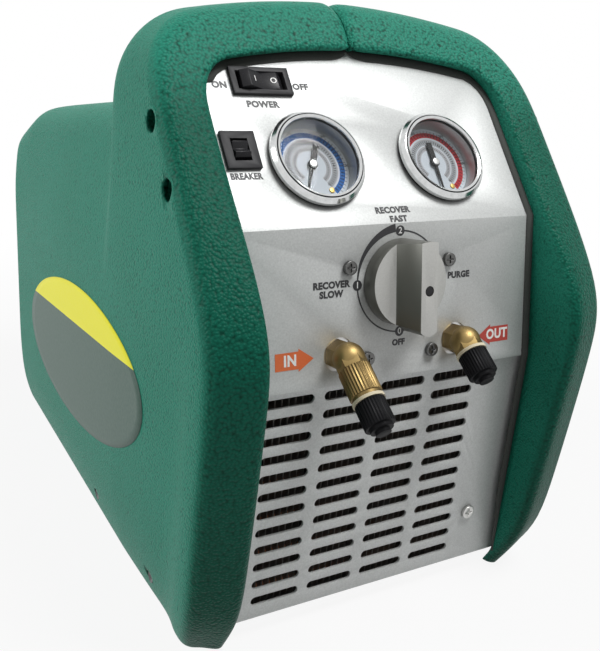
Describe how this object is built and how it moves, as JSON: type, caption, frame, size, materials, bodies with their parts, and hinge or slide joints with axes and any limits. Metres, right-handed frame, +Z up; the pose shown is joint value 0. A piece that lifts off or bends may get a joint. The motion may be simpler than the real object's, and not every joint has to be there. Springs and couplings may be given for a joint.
{
  "type": "refrigerant recovery machine",
  "caption": "Portable refrigerant recovery machine: moulded two-half shell with carry bar, slotted metal panel, pressure gauges, selector knob, capped ports and compressor works.",
  "frame": {"origin": "on the floor under the middle of the machine", "axes": "+Z up, the panel faces -Y, +X is the right as seen from the front"},
  "size_m": [0.24, 0.4056, 0.3249],
  "materials": {
    "green": "pebbled moulding",
    "steel": "zinc plated",
    "dark_steel": "black oxide",
    "sheet_steel": "galvanised",
    "rubber": "moulded",
    "silver_paint": "fine speckled silver",
    "black_paint": "satin black",
    "black_plastic": "moulded",
    "black_gloss": "smooth",
    "brass": "turned",
    "dial_white": "printed",
    "needle_black": "satin",
    "lens": "clear",
    "chrome": "polished",
    "knob_silver": "silver plated plastic",
    "aluminium": "machined",
    "seal": "nylon",
    "cap_black": "ridged",
    "copper": "drawn copper tube",
    "fin_black": "coated fins",
    "fan_grey": "moulded",
    "motor_black": "satin black",
    "cast_aluminium": "cast"
  },
  "bodies": {
    "machine": {"left_shell": "green", "right_shell": "green", "shell_screws": "steel", "base_tray": "sheet_steel", "base_screws": "dark_steel", "rubber_feet": "rubber", "front_panel": "silver_paint", "lower_panel_screw": "steel", "rear_panel": "black_paint", "rear_screws": "steel", "power_inlet": "black_plastic", "inlet_pins": "brass", "switch_frame": "black_plastic", "breaker_frame": "black_plastic", "low_gauge_case": "steel", "low_gauge_dial": "dial_white", "low_gauge_lens": "lens", "low_gauge_bezel": "chrome", "high_gauge_case": "steel", "high_gauge_dial": "dial_white", "high_gauge_lens": "lens", "high_gauge_bezel": "chrome", "valve_block": "aluminium", "block_screws": "dark_steel", "pressure_switch": "black_plastic", "in_elbow": "brass", "out_elbow": "brass", "out_washer": "seal", "low_gauge_tube": "copper", "high_gauge_tube": "copper", "suction_pipe": "copper", "discharge_pipe": "copper", "liquid_pipe": "copper", "condenser_fins": "fin_black", "condenser_tubes": "copper", "fan_shroud": "black_plastic", "motor_can": "motor_black", "motor_cradle": "sheet_steel", "compressor_case": "cast_aluminium", "cylinder_head": "cast_aluminium", "run_capacitor": "aluminium"},
    "power_rocker": {"power_rocker": "black_gloss"},
    "breaker_rocker": {"breaker_rocker": "black_gloss"},
    "selector": {"selector_knob": "knob_silver", "knob_plug": "black_plastic", "selector_stem": "steel"},
    "low_needle": {"low_gauge_needle": "needle_black"},
    "high_needle": {"high_gauge_needle": "needle_black"},
    "fan_rotor": {"fan": "fan_grey", "motor_shaft": "steel"},
    "in_swivel": {"in_coupler": "brass", "in_washer": "seal"},
    "in_cap": {"in_cap": "cap_black"},
    "out_cap": {"out_cap": "cap_black"}
  },
  "joints": [
    {"name": "power_rock", "type": "hinge", "parent": "machine", "child": "power_rocker", "pos_m": [-0.0575, -0.09024, 0.28361], "axis": [0, 0.6494, 0.7604], "range_deg": [-18, 0]},
    {"name": "breaker_rock", "type": "hinge", "parent": "machine", "child": "breaker_rocker", "pos_m": [-0.079, -0.11557, 0.25395], "axis": [-1, 0, 0], "range_deg": [-18, 0]},
    {"name": "selector_turn", "type": "hinge", "parent": "machine", "child": "selector", "pos_m": [0, -0.14971, 0.1939], "axis": [0, 0.9839, -0.1788], "range_deg": [0, 270]},
    {"name": "low_needle_turn", "type": "hinge", "parent": "machine", "child": "low_needle", "pos_m": [-0.0385, -0.11693, 0.24775], "axis": [0, 0.7604, -0.6494], "range_deg": [0, 270]},
    {"name": "high_needle_turn", "type": "hinge", "parent": "machine", "child": "high_needle", "pos_m": [0.0385, -0.11693, 0.24775], "axis": [0, 0.7604, -0.6494], "range_deg": [0, 270]},
    {"name": "fan_spin", "type": "hinge", "parent": "machine", "child": "fan_rotor", "pos_m": [0, -0.1, 0.083], "axis": [0, 1, 0], "continuous": true},
    {"name": "coupler_swivel", "type": "hinge", "parent": "machine", "child": "in_swivel", "pos_m": [-0.0368, -0.16468, 0.16186], "axis": [0, -0.8221, -0.5693], "continuous": true},
    {"name": "in_cap_off", "type": "slide", "parent": "in_swivel", "child": "in_cap", "axis": [0, -0.8221, -0.5693], "range_m": [0, 0.014]},
    {"name": "out_cap_off", "type": "slide", "parent": "machine", "child": "out_cap", "axis": [0, -0.8221, -0.5693], "range_m": [0, 0.014]}
  ]
}
